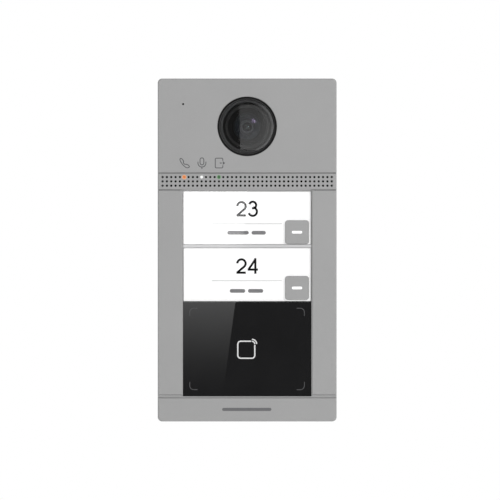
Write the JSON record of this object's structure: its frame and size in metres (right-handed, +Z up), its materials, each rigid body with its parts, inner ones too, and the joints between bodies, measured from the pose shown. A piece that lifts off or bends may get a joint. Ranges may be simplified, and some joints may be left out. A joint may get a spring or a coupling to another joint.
{
  "type": "door intercom panel",
  "caption": "Surface-mounted door intercom panel with a camera, a speaker grille, name plates with call buttons, a card reader and a wall plate.",
  "frame": {"origin": "centre of the four wall-screw holes, on the wall plane", "axes": "+Z up the panel; +X to the right as a visitor sees it; the front faces -Y and +Y points into the wall"},
  "size_m": [0.09, 0.0272, 0.1726],
  "materials": {
    "metal_front": "satin",
    "button_metal": "satin",
    "black_plastic": "satin",
    "grey_plastic": "satin",
    "white_plastic": "satin",
    "gloss_black": "gloss",
    "bezel": "satin",
    "clear_window": "gloss",
    "lens_glass": "gloss",
    "light_guide": "gloss",
    "card_white": "matte",
    "rubber_black": "matte",
    "silicone": "matte",
    "speaker_cloth": "matte",
    "circuit_board": "satin",
    "chips": "matte",
    "copper": "polished",
    "flex_amber": "satin",
    "steel": "satin",
    "tinned": "polished",
    "terminal_green": "satin"
  },
  "bodies": {
    "housing": {"upper_fascia": "metal_front", "grille_bar": "metal_front", "lower_fascia": "metal_front", "bottom_trim": "metal_front", "inner_frame": "black_plastic", "fascia_screws": "steel", "camera_bezel": "bezel", "camera_window": "clear_window", "camera_seal": "rubber_black", "camera_shroud": "grey_plastic", "lens_barrel": "black_plastic", "lens_front_element": "lens_glass", "lens_holder": "black_plastic", "image_sensor": "chips", "camera_board": "circuit_board", "camera_flex": "flex_amber", "microphone": "tinned", "microphone_boot": "rubber_black", "speaker_frame": "black_plastic", "speaker_cone": "speaker_cloth", "speaker_magnet": "steel", "speaker_gasket": "rubber_black", "grille_mesh": "speaker_cloth", "indicator_guide_call": "light_guide", "indicator_guide_talk": "light_guide", "indicator_guide_unlock": "light_guide", "indicator_leds": "white_plastic", "name_window_upper": "clear_window", "name_window_lower": "clear_window", "name_card_upper": "card_white", "name_card_lower": "card_white", "name_diffuser_upper": "white_plastic", "name_diffuser_lower": "white_plastic", "label_tray": "white_plastic", "front_board": "circuit_board", "button_switches": "chips", "return_pad_upper": "silicone", "return_pad_lower": "silicone", "reader_window": "gloss_black", "reader_board": "circuit_board", "antenna_coil": "copper", "main_board": "circuit_board", "board_parts": "chips", "ethernet_port": "tinned", "terminal_block": "terminal_green", "rear_cover": "black_plastic", "housing_gasket": "rubber_black", "cover_screws": "steel", "board_screws": "steel", "tamper_spring": "steel", "mounting_plate": "steel", "wall_gasket": "rubber_black", "lock_screw": "steel"},
    "call_button_upper": {"call_button_upper": "button_metal", "light_bar_upper": "light_guide", "switch_plunger_upper": "white_plastic"},
    "call_button_lower": {"call_button_lower": "button_metal", "light_bar_lower": "light_guide", "switch_plunger_lower": "white_plastic"},
    "tamper_plunger": {"tamper_plunger": "white_plastic"}
  },
  "joints": [
    {"name": "call_button_upper_press", "type": "slide", "parent": "housing", "child": "call_button_upper", "axis": [0, 1, 0], "range_m": [0, 0.0008], "stiffness_N_per_m": 1500, "springref_m": -0.0005, "deforming": ["return_pad_upper"]},
    {"name": "call_button_lower_press", "type": "slide", "parent": "housing", "child": "call_button_lower", "axis": [0, 1, 0], "range_m": [0, 0.0008], "stiffness_N_per_m": 1500, "springref_m": -0.0005, "deforming": ["return_pad_lower"]},
    {"name": "tamper_press", "type": "slide", "parent": "housing", "child": "tamper_plunger", "axis": [0, -1, 0], "range_m": [0, 0.001], "stiffness_N_per_m": 400, "springref_m": -0.0015, "deforming": ["tamper_spring"]}
  ]
}
